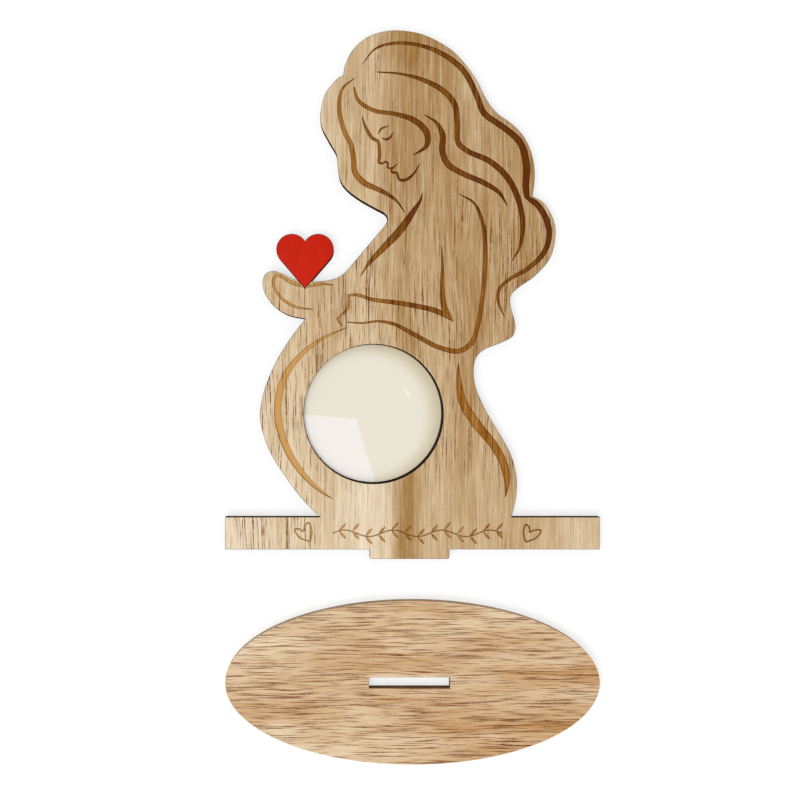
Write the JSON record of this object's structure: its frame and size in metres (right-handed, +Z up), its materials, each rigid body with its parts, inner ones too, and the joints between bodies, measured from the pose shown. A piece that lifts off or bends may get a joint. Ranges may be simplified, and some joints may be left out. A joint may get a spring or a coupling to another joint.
{
  "type": "wooden photo frame",
  "caption": "Flat cut-out wooden figure panel with a round domed photo window and a heart, laid beside the slotted oval base that its tab plugs into.",
  "frame": {"origin": "on the table, at the middle of the laid-out set", "axes": "+Z up from the table, +Y towards the figure's head, +X to the figure's back as seen from above"},
  "size_m": [0.15, 0.2938, 0.0077],
  "materials": {
    "panel_wood": "matt bare wood, grain upright, laser-charred edges and brown engraving",
    "base_wood": "matt bare wood, grain lengthwise, laser-charred edges",
    "heart_paint": "satin red paint on wood",
    "lens_glass": "clear and polished",
    "card_paper": "matt cream photo card",
    "backing_board": "matt brown hardboard"
  },
  "bodies": {
    "base": {"base_plate": "base_wood"},
    "panel": {"figure_panel": "panel_wood", "heart": "heart_paint", "backing_disc": "backing_board"},
    "photo": {"photo_card": "card_paper"},
    "lens": {"dome_lens": "lens_glass"}
  },
  "joints": [
    {"name": "panel_stand", "type": "hinge", "parent": "base", "child": "panel", "pos_m": [0, -0.09053, -0.02162], "axis": [1, 0, 0], "range_deg": [0, 90]},
    {"name": "photo_lift", "type": "slide", "parent": "panel", "child": "photo", "axis": [0, 0, 1], "range_m": [0, 0.006]},
    {"name": "lens_lift", "type": "slide", "parent": "photo", "child": "lens", "axis": [0, 0, 1], "range_m": [0, 0.012]}
  ]
}
